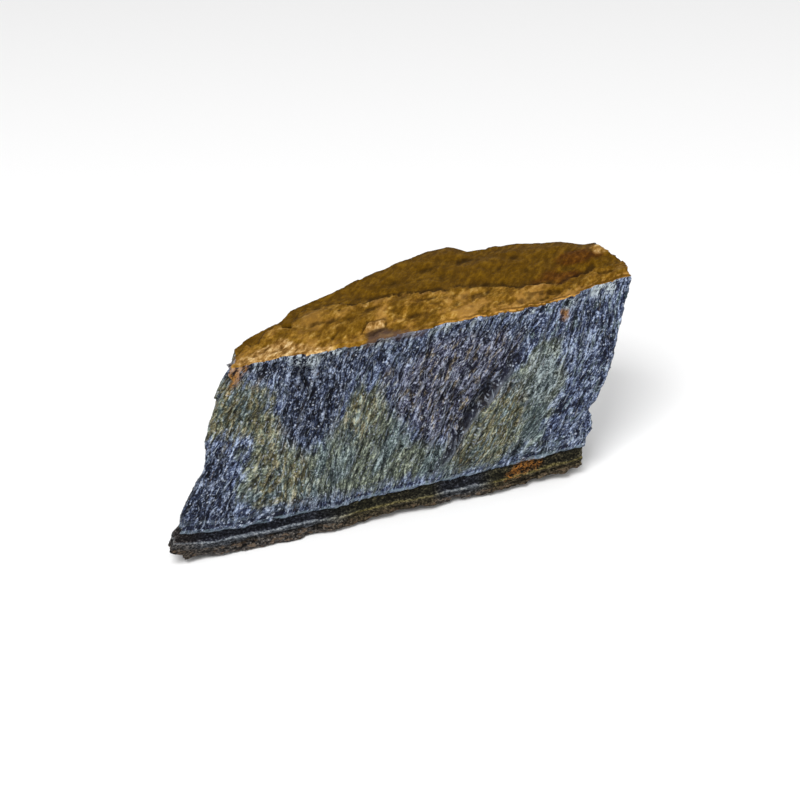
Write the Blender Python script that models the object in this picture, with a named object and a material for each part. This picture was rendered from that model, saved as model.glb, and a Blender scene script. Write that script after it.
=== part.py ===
"""A rough piece of tiger's eye, as broken from its vein: one stone, split along its fibres.

The fibres stand across a seam that lies flat. A golden limonite crust is left on top, and thin
layers of dark ironstone under them. Lengths are in millimetres here and scaled to metres at the end.
They are measured from the stone's top front left corner: x along the front face, y into the
stone, z up from what it rests on. The finished mesh is then centred on the origin.
"""
import bmesh
import bpy
import numpy as np

MM = 0.001
NAME = "tigers_eye_stone"
SEED = 41

# The block before it is shaped: how many cells it has along x, y and z.
CELLS = (74, 11, 19)
END_CROWDING = (0.45, 0.30, 0.55)   # how much closer its lines lie near its faces than between them

# Outlines, each a list of (place, value) at the corners that the broken edge really has.
LEFT_EDGE = [(0.8, -12.6), (2.6, -15.2), (4.4, -15.6), (6.9, -12.5), (11.9, -11.7), (15.7, -9.2),
             (19.6, -7.4), (25.8, -7.2), (30.8, -5.7), (35.2, -3.6), (38.8, -0.7), (40.8, 0.0)]
RIGHT_EDGE = [(2.2, 74.2), (7.4, 74.5), (9.8, 76.6), (12.8, 76.6), (14.0, 75.6), (16.5, 76.4),
              (19.5, 78.0), (24.8, 80.0), (28.0, 80.5), (37.6, 82.6), (40.5, 84.0), (41.9, 83.9)]
BACK_LINE = [(2.2, 6.8), (5.4, 9.3), (10.8, 13.0), (15.6, 15.0), (19.2, 18.6), (24.7, 20.6),
             (31.0, 22.6), (40.3, 27.4), (51.3, 31.2), (54.2, 32.9), (58.7, 33.0), (61.3, 29.2), (72.6, 27.5),
             (78.8, 25.3), (84.5, 21.6)]
RIGHT_BULGE = [(0.0, 0.0), (0.07, 0.5), (0.25, 1.8), (0.5, 3.1), (0.75, 3.7), (0.93, 3.6), (1.0, 2.4)]
TOP_LENGTH = 83.9           # the top front edge, from corner to corner
LEFT_END_SLANT = 3.4        # how far the blunt left end runs back to the right, at the top
BACK_UNDERCUT = [(0.0, 0.42), (0.25, 0.14), (1.0, 0.10)]    # share of its depth lost from top to bottom

# Heights of the layers along the front face.
TOP_FRONT = [(0.0, 40.8), (84.0, 41.9)]
BAND_TOP = [(-15.0, 6.0), (10.0, 4.6), (25.0, 4.3), (40.0, 4.9), (76.0, 4.3)]    # dark ironstone band
GOLD_LINE = [(-15.0, 4.2), (0.0, 3.0), (25.0, 2.2), (40.0, 3.0), (76.0, 2.4)]    # hard layer under it
BOTTOM_EDGE = [(-12.0, 1.4), (-5.0, 0.4), (8.0, 0.3), (26.0, 0.9), (38.0, 1.4), (46.0, 0.7),
               (48.6, 1.0), (50.5, 0.7), (62.0, 1.0), (74.0, 2.4)]
UNDERSIDE_RIM = 3.5         # width over which the flat underside turns up to its broken edge

# Fibres: how far they lean to the left for each millimetre down, and the splinters they break into.
FIBRE_LEAN = 0.46
SPLINTER_LENGTH = 15.0
SPLINTER_WIDTH = 3.4
FRONT_STEP = 0.9            # the most that one splinter stands above the next
BACK_STEP = 2.4
END_STEP = 1.6
FADE = 2.2                  # depth at which a face's relief no longer moves its neighbours' skin
BAND_RECESS = 0.6
GOLD_PROUD = 0.35
RIM_PROUD = 0.4             # the crust's edge stands out over the fibres
RIM_THICK = 1.0
CRUST_FROM = 35.0           # an upward face above this height is crust
BASE_TO = 4.6               # a side face below this height is ironstone
LOWER_LUMP = 0.6

# The front has split along a slanting crack: a smooth slab stands proud to the right of it, and the
# fibres left of it are torn out.
CRACK_FOOT = (43.0, 11.0)
CRACK_HEAD = (60.0, 32.0)
CRACK_DEPTH = 1.1
CRACK_WIDTH = 1.8
SLAB_REACH = 20.0           # how far right of the crack the slab runs before it is lost in the face
TORN_ZONE = (48.0, 22.5, 9.0, 8.0)      # x, z and the two half widths
TORN_DEPTH = 0.9
PITS = [(13.6, 36.0, 1.5, 1.1), (33.0, 34.0, 2.0, 0.7), (29.5, 19.0, 2.2, 0.6)]   # x, z, radius, depth

# Crust on the top: a terrace along the front, then small forms that stand on it or are sunk in it.
TERRACE_LINE = [(0.0, 9.0), (11.0, 13.0), (15.5, 9.5), (23.4, 15.5), (31.5, 14.5), (42.6, 18.0),
                (51.2, 15.4), (61.2, 13.0), (66.0, 11.2), (72.0, 6.5), (84.0, 9.5)]
TERRACE_HEIGHT = 0.7
CRUST_SWELL = 0.6           # gentle rise and fall of the whole top, least at the back edge
LEDGES = [(29.2, 2.2, 2.1, 1.4, 0.8), (70.0, 9.8, 5.2, 1.5, 0.7), (24.0, 11.5, 5.0, 2.6, 0.6),
          (56.0, 22.5, 8.0, 2.6, 0.5)]       # x, y, half length, half width, height
CORNER_LUMP = (86.8, 18.6, 2.6, 1.0)         # x, y, radius, height
CRUST_PITS = [(82.0, 6.4, 2.4, 1.1), (17.0, 12.5, 2.2, 1.3)]        # x, y, radius, depth


def line(points, place):
    """Value of an outline at each place, straight between its points."""
    xs, values = zip(*points)
    return np.interp(place, xs, values)


def ramp(low, high, value):
    """0 below low, 1 above high, smooth between."""
    t = np.clip((value - low) / (high - low), 0.0, 1.0)
    return t * t * (3.0 - 2.0 * t)


def scatter(i, j, seed):
    """A repeatable random number from 0 to 1 for each whole-number place."""
    n = (i.astype(np.int64) * 374761393 + j.astype(np.int64) * 668265263 + seed * 144269504) & 0xFFFFFFFF
    n = ((n ^ (n >> 13)) * 1274126177) & 0xFFFFFFFF
    return ((n ^ (n >> 16)) & 0xFFFF) / 65535.0


def swell(u, v, seed):
    """Smooth random rise and fall from -1 to 1, one wave to each unit of u and v."""
    iu, iv = np.floor(u), np.floor(v)
    fu, fv = ramp(0.0, 1.0, u - iu), ramp(0.0, 1.0, v - iv)
    low = scatter(iu, iv, seed) * (1 - fu) + scatter(iu + 1, iv, seed) * fu
    high = scatter(iu, iv + 1, seed) * (1 - fu) + scatter(iu + 1, iv + 1, seed) * fu
    return 2.0 * (low * (1 - fv) + high * fv) - 1.0


def flakes(u, v, seed):
    """Height from 0 to 1 of the flake that each place lies on: cells round scattered centres."""
    iu, iv = np.floor(u), np.floor(v)
    nearest = np.full(u.shape, 9.0)
    height = np.zeros(u.shape)
    for du in (-1, 0, 1):
        for dv in (-1, 0, 1):
            cu, cv = iu + du, iv + dv
            away = (cu + scatter(cu, cv, seed) - u) ** 2 + (cv + scatter(cu, cv, seed + 1) - v) ** 2
            closer = away < nearest
            nearest = np.where(closer, away, nearest)
            height = np.where(closer, scatter(cu, cv, seed + 2), height)
    return height


def dome(dx, dy, rx, ry):
    """1 at the middle of an oval, 0 outside it, with a steep side and a flat middle."""
    return ramp(1.15, 0.55, np.hypot(dx / rx, dy / ry))


def splinters(across, along, step, seed):
    """Relief of fibres that have broken off in long flakes, around zero."""
    coarse = flakes(across / SPLINTER_WIDTH, along / SPLINTER_LENGTH, SEED + seed) - 0.5
    broad = swell(across / (3.0 * SPLINTER_WIDTH), along / (1.5 * SPLINTER_LENGTH), SEED + seed + 5)
    return step * (0.8 * coarse + 0.45 * broad)


def up_fibre(x, z):
    """Where the fibre through a place would meet the top."""
    return x + FIBRE_LEAN * (line(TOP_FRONT, x) - z)


def rim_layer(x, z):
    """1 on the edge of the crust, round the top of the sides, and 0 below it."""
    top = line(TOP_FRONT, x)
    return ramp(top - RIM_THICK - 0.3, top - RIM_THICK + 0.2, z)


def front_relief(x, z):
    """How far the front face stands out of its plane."""
    relief = splinters(up_fibre(x, z), z, FRONT_STEP, 0)
    (foot_x, foot_z), (head_x, head_z) = CRACK_FOOT, CRACK_HEAD
    beyond = x - foot_x - (z - foot_z) * (head_x - foot_x) / (head_z - foot_z)
    slab = ramp(-CRACK_WIDTH, 0.0, beyond) * ramp(SLAB_REACH, 0.4 * SLAB_REACH, beyond)
    along_crack = ramp(foot_z - 5.0, foot_z + 2.0, z) * ramp(head_z + 4.0, head_z - 4.0, z)
    relief += CRACK_DEPTH * (slab - 0.4) * along_crack
    centre_x, centre_z, half_x, half_z = TORN_ZONE
    torn = dome(x - centre_x, z - centre_z, half_x, half_z) * ramp(0.0, -CRACK_WIDTH, beyond)
    relief -= TORN_DEPTH * torn * (0.6 + 0.5 * swell(up_fibre(x, z) / 2.6, z / 6.0, SEED + 20))
    for px, pz, radius, depth in PITS:
        relief -= depth * dome(x - px, z - pz, radius, 1.6 * radius)
    band_top, gold = line(BAND_TOP, x), line(GOLD_LINE, x)
    in_base = ramp(band_top + 0.7, band_top, z)
    relief = relief * (1.0 - 0.7 * in_base) - BAND_RECESS * in_base * ramp(gold, gold + 0.4, z)
    relief += GOLD_PROUD * ramp(1.1, 0.4, np.abs(z - gold))
    under = ramp(gold - 0.2, gold - 1.0, z)
    relief += under * (LOWER_LUMP * swell(x / 5.0, z / 2.0, SEED + 30) - 0.05)
    return relief + RIM_PROUD * rim_layer(x, z)


def back_relief(x, z):
    """How far the back face stands out: deeper steps, along the same fibres."""
    relief = splinters(up_fibre(x, z), z, BACK_STEP, 50)
    in_base = ramp(line(BAND_TOP, x) + 0.7, line(BAND_TOP, x), z)
    return relief * (1.0 - 0.6 * in_base) - BAND_RECESS * in_base * ramp(2.2, 3.2, z)


def end_relief(y, z):
    """How far a broken end stands out behind its front edge: splinters that run up it."""
    knobs = flakes(y / 4.2, z / 5.5, SEED + 60) - 0.5
    return END_STEP * ramp(0.0, 4.0, y) * (0.9 * knobs + 0.6 * swell(y / 9.0, z / 9.0, SEED + 67))


def top_relief(x, y, depth):
    """Rise of the crust above the plane of the top."""
    edge = line(TERRACE_LINE, x) + 0.9 * swell(x / 3.2, x * 0.0, SEED + 70)
    relief = TERRACE_HEIGHT * ramp(edge + 0.7, edge - 0.4, y)
    broad = swell(x / 17.0, y / 8.0, SEED + 71) + 0.4 * swell(x / 4.5, y / 3.0, SEED + 72)
    relief += CRUST_SWELL * broad * ramp(0.0, 6.0, depth - y) * ramp(-1.0, 3.0, y)
    for lx, ly, half_x, half_y, height in LEDGES:
        relief += height * dome(x - lx, y - ly, half_x, half_y)
    for px, py, radius, depth in CRUST_PITS:
        relief -= depth * dome(x - px, y - py, radius, radius)
    lx, ly, radius, height = CORNER_LUMP
    return relief + height * ramp(radius, 0.3 * radius, np.hypot(x - lx, y - ly)) - TERRACE_HEIGHT


def underside(x, y, depth):
    """Height of the underside: flat where it bears, turned up to the broken edges all round."""
    front = ramp(UNDERSIDE_RIM, 0.0, y) * line(BOTTOM_EDGE, x)
    back = ramp(UNDERSIDE_RIM, 0.0, depth - y) * (1.3 + 0.8 * swell(x / 7.0, x * 0.0, SEED + 80))
    left = ramp(-6.0, -13.0, x) * 1.1
    right = ramp(69.0, 76.0, x) * 1.6
    return np.maximum(np.maximum(front, back), np.maximum(left, right))


def crowd(t, amount):
    """Moves evenly spaced lines from 0 to 1 closer together near both ends."""
    return t - amount * np.sin(2.0 * np.pi * t) / (2.0 * np.pi)


def shape(a, b, c):
    """Place on the stone of the block's point that is a along, b back and c up, each 0 to 1."""
    z = line(TOP_FRONT, a * TOP_LENGTH) * c
    left = line(LEFT_EDGE, z) + LEFT_END_SLANT * b * (0.6 + 0.4 * c)
    right = line(RIGHT_EDGE, z) + line(RIGHT_BULGE, b) * (0.75 + 0.25 * c)
    x = left * (1.0 - a) + right * a
    along_back = LEFT_END_SLANT * (1.0 - a) + (TOP_LENGTH + RIGHT_BULGE[-1][1]) * a
    depth = line(BACK_LINE, along_back) * (1.0 - line(BACK_UNDERCUT, a) * (1.0 - c))
    y = depth * b
    thin = np.minimum(1.0, depth / 9.0)
    near_front, near_back = np.exp(-y / FADE), np.exp(-(depth - y) / FADE)
    moved_y = y + thin * (back_relief(x, z) * near_back - front_relief(x, z) * near_front)
    near_left, near_right = np.exp(-(x - left) / FADE), np.exp(-(right - x) / FADE)
    moved_x = x + end_relief(y, z) * near_right - end_relief(y, z + 50.0) * near_left
    top = line(TOP_FRONT, x) + top_relief(x, y, depth)
    bottom = underside(x, y, depth)
    moved_z = bottom * (1.0 - c) + top * c
    return moved_x, moved_y, moved_z


def block():
    """A unit cube cut into the block's cells by cutting the edges of each direction in turn."""
    bm = bmesh.new()
    bmesh.ops.create_cube(bm, size=1.0)
    for axis, cells in enumerate(CELLS):
        along = [e for e in bm.edges if abs(e.verts[0].co[axis] - e.verts[1].co[axis]) > 1e-6]
        bmesh.ops.subdivide_edges(bm, edges=along, cuts=cells - 1)
    mesh = bpy.data.meshes.new(NAME)
    bm.to_mesh(mesh)
    bm.free()
    return mesh


def form_stone(mesh):
    """Moves the block's vertices to the stone's skin, centred over the origin and standing at 0."""
    flat = np.empty(len(mesh.vertices) * 3)
    mesh.vertices.foreach_get("co", flat)
    parts = [crowd(t, amount) for t, amount in zip(flat.reshape(-1, 3).T + 0.5, END_CROWDING)]
    place = np.stack(shape(*parts), axis=1)
    low, high = place.min(axis=0), place.max(axis=0)
    place -= np.array([(low[0] + high[0]) / 2, (low[1] + high[1]) / 2, low[2]])
    mesh.vertices.foreach_set("co", (place * MM).ravel())
    mesh.update()


def finish(name, colour, roughness):
    """A plain finish."""
    material = bpy.data.materials.new(name)
    material.use_nodes = True
    shader = material.node_tree.nodes["Principled BSDF"]
    shader.inputs["Base Color"].default_value = (*colour, 1.0)
    shader.inputs["Roughness"].default_value = roughness
    shader.inputs["Metallic"].default_value = 0.0
    material.diffuse_color = (*colour, 1.0)
    return material


def dress(mesh):
    """Gives the fibres, the crust on top and the ironstone below their own finishes."""
    mesh.materials.append(finish("fibres", (0.11, 0.13, 0.15), 0.55))
    mesh.materials.append(finish("limonite_crust", (0.20, 0.12, 0.03), 0.7))
    mesh.materials.append(finish("ironstone", (0.04, 0.04, 0.03), 0.6))
    for face in mesh.polygons:
        if face.normal.z > 0.6 and face.center.z > CRUST_FROM * MM:
            face.material_index = 1
        elif face.center.z < BASE_TO * MM:
            face.material_index = 2


def main():
    for old in list(bpy.data.objects):
        bpy.data.objects.remove(old, do_unlink=True)
    collection = bpy.data.collections.new("rough_tigers_eye")
    bpy.context.scene.collection.children.link(collection)
    mesh = block()
    form_stone(mesh)
    dress(mesh)
    collection.objects.link(bpy.data.objects.new(NAME, mesh))


main()
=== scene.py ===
"""Looks of a rough piece of tiger's eye: silky blue fibres, a golden crust on top, dark layers below.

The stone's fine skin is worked out with numpy on outlines close to its solid's. Lengths here are in
millimetres from the stone's top front left corner, x along the front, y into the stone and z up,
and the finished skin is fitted to the solid's box, in metres.
"""
from functools import partial

import bpy
import numpy as np
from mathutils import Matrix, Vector


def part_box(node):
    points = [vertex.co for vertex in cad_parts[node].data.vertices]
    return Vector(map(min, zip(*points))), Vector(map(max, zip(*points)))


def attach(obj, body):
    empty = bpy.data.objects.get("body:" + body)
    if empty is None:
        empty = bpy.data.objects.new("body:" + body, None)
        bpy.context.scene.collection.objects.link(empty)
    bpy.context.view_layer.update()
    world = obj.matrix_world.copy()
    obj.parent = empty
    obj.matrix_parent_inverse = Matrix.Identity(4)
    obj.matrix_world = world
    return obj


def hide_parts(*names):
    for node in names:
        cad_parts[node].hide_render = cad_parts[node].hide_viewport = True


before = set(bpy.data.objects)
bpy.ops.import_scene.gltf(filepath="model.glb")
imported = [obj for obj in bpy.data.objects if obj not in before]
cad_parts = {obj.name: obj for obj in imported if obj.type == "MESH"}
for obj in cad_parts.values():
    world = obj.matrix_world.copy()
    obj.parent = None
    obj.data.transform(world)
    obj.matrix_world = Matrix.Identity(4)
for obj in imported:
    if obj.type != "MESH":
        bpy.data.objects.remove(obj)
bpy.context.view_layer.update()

MM = 0.001
NODE = "tigers_eye_stone"
SEED = 41

# ---------------- the stone's outlines, close to its solid's
CELLS = (264, 42, 120)              # cells of the fine skin along x, y and z
END_CROWDING = (0.15, 0.25, 0.2)    # how much closer its lines lie near its faces than between them
LEFT_EDGE = [
    (0.8, -12.6), (2.6, -15.6), (4.2, -14.8), (5.8, -13.2), (6.9, -12.8), (10.4, -12.8), (12.2, -12),
    (15.7, -9.4), (19.6, -7.6), (25.8, -7.2), (30.8, -5.7), (34.4, -3.9), (36, -2.7), (37.6, -1.3),
    (38.9, -2.2), (40.8, -1.5)
]
RIGHT_EDGE = [
    (2.2, 74.2), (6.6, 74.9), (8.4, 76.5), (11.6, 76.1), (13.4, 75.2), (15.4, 77), (19, 78.6), (24, 80.2),
    (28, 81), (33, 82.7), (37, 84.6), (40.5, 85.5), (41.9, 85.2)
]
BACK_LINE = [
    (2.2, 6.8), (5.4, 9.3), (10.8, 13), (15.6, 15), (19.2, 18.6), (24.7, 20.6), (31, 22.6), (40.3, 27.4),
    (51.3, 31.2), (54.2, 32.9), (58.7, 33), (61.3, 29.2), (72.6, 27.5), (78.8, 25.3), (84.5, 21.6)
]
RIGHT_BULGE = [(0, 0), (0.07, 0.5), (0.25, 1.8), (0.5, 3.1), (0.75, 3.7), (0.93, 3.6), (1, 2.4)]
# the share of the bulge at each height, from 0 at the bottom to 1
BULGE_SHARE = [(0, 0.75), (0.7, 0.85), (0.85, 0.62), (1, 0.5)]
TOP_LENGTH = 83.9
LEFT_END_SLANT = 3.4
BACK_UNDERCUT = [(0, 0.42), (0.25, 0.14), (1, 0.1)]
TOP_FRONT = [(0, 40.8), (84, 41.9)]
BAND_TOP = [
    (-15, 7.5), (-10, 6.6), (-5, 5.8), (0, 5.4), (5, 5.4), (13, 5.5), (20, 5.45), (25, 5.7), (40, 5.9),
    (44, 5.7), (50, 5.8), (60, 6), (75, 6.7)
]
GOLD_LINE = [
    (-15, 5.4), (-10, 4.6), (-6, 4.1), (0, 3.75), (5, 3.6), (13, 3.5), (20, 3.4), (25, 3.7), (40, 3.5),
    (50, 3.4), (60, 3.5), (75, 4.5)
]
BOTTOM_EDGE = [
    (-12, 1.4), (-8, 1.3), (-5, 0.9), (0, 0.5), (8, 0.3), (20, 0.7), (30, 1.3), (37, 1.6), (41, 1),
    (44.2, 1), (44.6, 1.8), (46.1, 1.8), (46.6, 1), (53, 0.9), (62, 1.4), (70, 1.9), (74, 2.9)
]
UNDERSIDE_RIM = 3.5
# how far the front's top edge bends back, and the heights between which it begins to
CORNER_CURVE = [(66, 0), (70, 0.7), (80, 2.6), (86, 3.6)]
CURVE_HEIGHTS = (27, 41)

# ---------------- relief, coarse much as on the solid and then finer
FIBRE_LEAN = [
    (-15, 0.44), (0, 0.36), (8, 0.24), (16, 0.26), (26, 0.4), (45, 0.5), (60, 0.5), (74, 0.34), (88, 0.28)
]
SPLINTER_LENGTH = 15.0
SPLINTER_WIDTH = 3.4
FRONT_STEP = 0.9
BACK_STEP = 2.4
BACK_CALM = (32, 40, 0.7)           # heights between which the back's steps die down, and by how much
END_STEP = 1.6
FADE = 2.2
BAND_RECESS = 0.6
GOLD_PROUD = 0.35
RIM_PROUD = 0.4
RIM_THICK = 1.0
LOWER_LUMP = 0.6
CRACK_FOOT = (43, 11)
CRACK_HEAD = (60, 32)
CRACK_DEPTH = 1.1
CRACK_WIDTH = 1.8
SLAB_REACH = 20.0
TORN_ZONE = (48, 22.5, 9, 8)
TORN_DEPTH = 0.9
PITS = [(13.6, 36, 1.5, 1.1), (33, 34, 2, 0.7), (29.5, 19, 2.2, 0.6)]
TERRACE_LINE = [
    (0, 3), (4, 6.8), (8, 9.2), (12, 11.6), (13.4, 12.6), (13.9, 10.6), (14.8, 10.6), (15.6, 12.8),
    (18, 15), (21, 17.2), (24, 17), (27, 15.8), (29.5, 13.2), (33, 14.4), (37, 16.2), (41, 15.2),
    (46, 14.6), (52, 13.4), (57, 12), (61, 10.8), (62.5, 8.4), (66, 5.4), (70, 5.4), (72, 5.6), (78, 6.2),
    (84, 7.8)
]
TERRACE_HEIGHT = 0.45
RISE_BEHIND = (0.08, 0.8)
CRUST_SWELL = 0.6
CHIP = [(26.7, 3.2), (28.6, 5.4), (32.3, 5.8), (31.2, 3.5)]
CHIP_HEIGHT = 0.6
LEDGES = [(66, 6.5, 4.6, 1, 0.8), (22, 12.5, 4, 2.4, 0.4), (56, 22.5, 8, 2.6, 0.15)]
RIGHT_LIP = (64, 84, 7, 0.3)
CRUST_SWEEP = np.radians(46.0)
PITTED_ZONE = (14, 31, 9, 9)
SLOT_DEPTH = 0.45
CORNER_LUMP = (86.4, 17.6, 2.8, 0.3)
CRUST_PITS = [(81.6, 5.2, 2, 0.9), (14.3, 11.8, 1.1, 0.8), (68.6, 3.7, 1.6, 0.4)]

# ---------------- loose splinters that stand on the broken sides
SIDES = {"front": 3300, "back": 1150, "left": 400, "right": 550}    # how many splinters each side has
SPLINTER_RINGS = 6                  # three-cornered rings from tip to tip
SPLINTER_REACH = (0.5, 3.8)         # the shortest and the longest
SPLINTER_BREADTH = (0.13, 0.3)
SPLINTER_CREST = (0.03, 0.22)       # how far the crest stands out of the face
SPLINTER_SUNK = 0.12
SPLINTER_WANDER = 0.22              # how far it bends to either side
SPLINTER_STRAY = 0.3                # how far its lean may differ from the fibres'


def line(points, place):
    """Value of an outline at each place, straight between its points."""
    xs, values = zip(*points)
    return np.interp(place, xs, values)


def ramp(low, high, value):
    """0 below low, 1 above high, and between them the smooth step 3t^2 - 2t^3."""
    t = np.clip((value - low) / (high - low), 0, 1)
    return t * t * (3 - 2 * t)


def scatter(i, j, seed):
    """A repeatable random number from 0 to 1 for each whole-number place, by mixing its bits."""
    n = (i.astype(np.int64) * 374761393 + j.astype(np.int64) * 668265263 + seed * 144269504) & 0xFFFFFFFF
    n = ((n ^ (n >> 13)) * 1274126177) & 0xFFFFFFFF
    return ((n ^ (n >> 16)) & 0xFFFF) / 65535


def swell(u, v, seed):
    """Smooth random rise and fall from -1 to 1: random corner heights, smoothly blended over each cell."""
    iu, iv = np.floor(u), np.floor(v)
    fu, fv = ramp(0, 1, u - iu), ramp(0, 1, v - iv)
    low = scatter(iu, iv, seed) * (1 - fu) + scatter(iu + 1, iv, seed) * fu
    high = scatter(iu, iv + 1, seed) * (1 - fu) + scatter(iu + 1, iv + 1, seed) * fu
    return 2 * (low * (1 - fv) + high * fv) - 1


def rough(u, v, seed, octaves=3):
    """Sum of swells, each twice as fine and half as high as the last."""
    return sum(swell(u * 2 ** k, v * 2 ** k, seed + 11 * k) * 0.5 ** k for k in range(octaves))


def flakes(u, v, seed, tilt=0):
    """Height from 0 to 1 of the flake at each place: the cell of the nearest scattered centre, each
    cell level at its own random height, or leaning by tilt across its width."""
    iu, iv = np.floor(u), np.floor(v)
    nearest = np.full(u.shape, 9.0)
    height = np.zeros(u.shape)
    for du in (-1, 0, 1):
        for dv in (-1, 0, 1):
            cu, cv = iu + du, iv + dv
            across = u - cu - scatter(cu, cv, seed)
            away = across ** 2 + (cv + scatter(cu, cv, seed + 1) - v) ** 2
            closer = away < nearest
            lean = tilt * across * (scatter(cu, cv, seed + 3) - 0.3)
            nearest = np.where(closer, away, nearest)
            height = np.where(closer, scatter(cu, cv, seed + 2) + lean, height)
    return height


def dome(dx, dy, rx, ry):
    """1 at the middle of an oval and 0 outside it, with a steep side and a flat middle."""
    return ramp(1.15, 0.55, np.hypot(dx / rx, dy / ry))


def inside(outline, u, v):
    """Distance in from the nearest side of a closed outline, negative outside it."""
    nearest = np.full(u.shape, np.inf)
    within = np.zeros(u.shape, bool)
    for (u0, v0), (u1, v1) in zip(outline, outline[1:] + outline[:1]):
        du, dv = u1 - u0, v1 - v0
        along = np.clip(((u - u0) * du + (v - v0) * dv) / (du * du + dv * dv), 0, 1)
        nearest = np.minimum(nearest, np.hypot(u - u0 - along * du, v - v0 - along * dv))
        if dv:
            within ^= ((v0 > v) != (v1 > v)) & (u < u0 + (v - v0) * du / dv)
    return np.where(within, nearest, -nearest)


def up_fibre(x, z):
    """Where the fibre through a place would meet the top."""
    return x + line(FIBRE_LEAN, x) * (line(TOP_FRONT, x) - z)


def splinters(across, along, step, seed):
    """Relief of long broken flakes, much as on the solid: coarse cells along the fibres on a swell."""
    coarse = flakes(across / SPLINTER_WIDTH, along / SPLINTER_LENGTH, SEED + seed) - 0.5
    broad = swell(across / (3 * SPLINTER_WIDTH), along / (1.5 * SPLINTER_LENGTH), SEED + seed + 5)
    return step * (0.8 * coarse + 0.45 * broad)


def bundles(across, along, seed):
    """Fine relief of the fibre bundles, around zero: three sizes of leaning flakes, each a third to a
    half as wide and as high as the last, along wavering fibres."""
    across = across + 0.35 * swell(across / 5, along / 9, SEED + seed + 1)
    wide = flakes(across / 1.7, along / 7, SEED + seed + 2, 0.8) - 0.5
    middle = flakes(across / 0.85, along / 2.6, SEED + seed + 6, 0.9) - 0.5
    fine = flakes(across / 0.6, along / 1.2, SEED + seed + 10, 0.9) - 0.5
    return 0.22 * wide + 0.22 * middle + 0.16 * fine


def beyond_crack(x, z):
    """How far right of the slanting crack a place on the front lies."""
    (foot_x, foot_z), (head_x, head_z) = CRACK_FOOT, CRACK_HEAD
    return x - foot_x - (z - foot_z) * (head_x - foot_x) / (head_z - foot_z)


def along_crack(z):
    """1 beside the crack, 0 above its head and below its foot."""
    return ramp(CRACK_FOOT[1] - 5, CRACK_FOOT[1] + 2, z) * ramp(CRACK_HEAD[1] + 4, CRACK_HEAD[1] - 4, z)


def torn_fibres(x, z):
    """1 in the torn hollow left of the crack."""
    centre_x, centre_z, half_x, half_z = TORN_ZONE
    return dome(x - centre_x, z - centre_z, half_x, half_z) * ramp(0, -CRACK_WIDTH, beyond_crack(x, z))


def front_relief(x, z):
    """How far the front face stands out of its plane: splinters, the slab beyond the crack, torn fibres,
    pits, the layers at the base and the crust's edge, and over them all the fibre bundles."""
    across = up_fibre(x, z)
    relief = splinters(across, z, FRONT_STEP, 0)
    beyond, torn = beyond_crack(x, z), torn_fibres(x, z)
    slab = ramp(-CRACK_WIDTH, 0, beyond) * ramp(SLAB_REACH, 0.4 * SLAB_REACH, beyond)
    relief += CRACK_DEPTH * (slab - 0.4) * along_crack(z)
    relief -= TORN_DEPTH * torn * (0.6 + 0.5 * swell(across / 2.6, z / 6, SEED + 20))
    for px, pz, radius, depth in PITS:
        relief -= depth * dome(x - px, z - pz, radius, 1.6 * radius)
    band_top = line(BAND_TOP, x) + 0.25 * rough(x / 1.8, z * 0, SEED + 31)
    gold = line(GOLD_LINE, x)
    in_base = ramp(band_top + 0.5, band_top - 0.2, z)
    relief = relief * (1 - 0.7 * in_base) - BAND_RECESS * in_base * ramp(gold, gold + 0.4, z)
    relief += GOLD_PROUD * ramp(0.8, 0.2, np.abs(z - gold))
    under = ramp(gold - 0.2, gold - 1, z)
    relief += under * (LOWER_LUMP * swell(x / 5, z / 2, SEED + 30) - 0.05)
    relief += under * 0.35 * rough(x / 1.9, z / 0.9, SEED + 33)
    relief += RIM_PROUD * rim_layer(x, z) * (1 + 0.5 * swell(x / 1.6, z / 0.6, SEED + 36))
    strength = (1 + 0.9 * torn - 0.35 * slab) * (1 - 0.75 * in_base) * (1 - 0.6 * rim_layer(x, z))
    pitted_x, pitted_z, half_x, half_z = PITTED_ZONE
    pitted = 0.35 + 0.65 * dome(x - pitted_x, z - pitted_z, half_x, half_z)
    slots = ramp(0.25, 0.75, swell(across / 0.85, z / 2.6, SEED + 120))
    return relief + strength * (bundles(across, z, 100) - SLOT_DEPTH * pitted * slots)


def rim_layer(x, z):
    """1 on the edge of the crust, round the top of the sides, and 0 below it."""
    top = line(TOP_FRONT, x)
    return ramp(top - RIM_THICK - 0.2, top - RIM_THICK + 0.1, z)


def back_relief(x, z):
    """How far the back face stands out: deeper steps and coarser bundles, along the same fibres."""
    across = up_fibre(x, z)
    band_top = line(BAND_TOP, x)
    in_base = ramp(band_top + 0.7, band_top, z)
    calm_from, calm_to, calmed = BACK_CALM
    calm = 1 - calmed * ramp(calm_from, calm_to, z)
    relief = calm * splinters(across, z, BACK_STEP, 50) * (1 - 0.6 * in_base)
    relief -= BAND_RECESS * in_base * ramp(2.2, 3.2, z)
    relief += in_base * 0.25 * rough(x / 2.4, z / 0.9, SEED + 56)
    return relief + calm * (1.3 - 0.9 * in_base) * bundles(0.8 * across, 0.8 * z, 140)


def end_relief(y, z):
    """How far a broken end stands out behind its front edge: knobs, and bundles that run up it."""
    knobs = flakes(y / 4.2, z / 5.5, SEED + 60) - 0.5
    relief = END_STEP * ramp(0, 4, y) * (0.9 * knobs + 0.6 * swell(y / 9, z / 9, SEED + 67))
    return relief + 1.1 * bundles(0.8 * y, z, 180)


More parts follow.
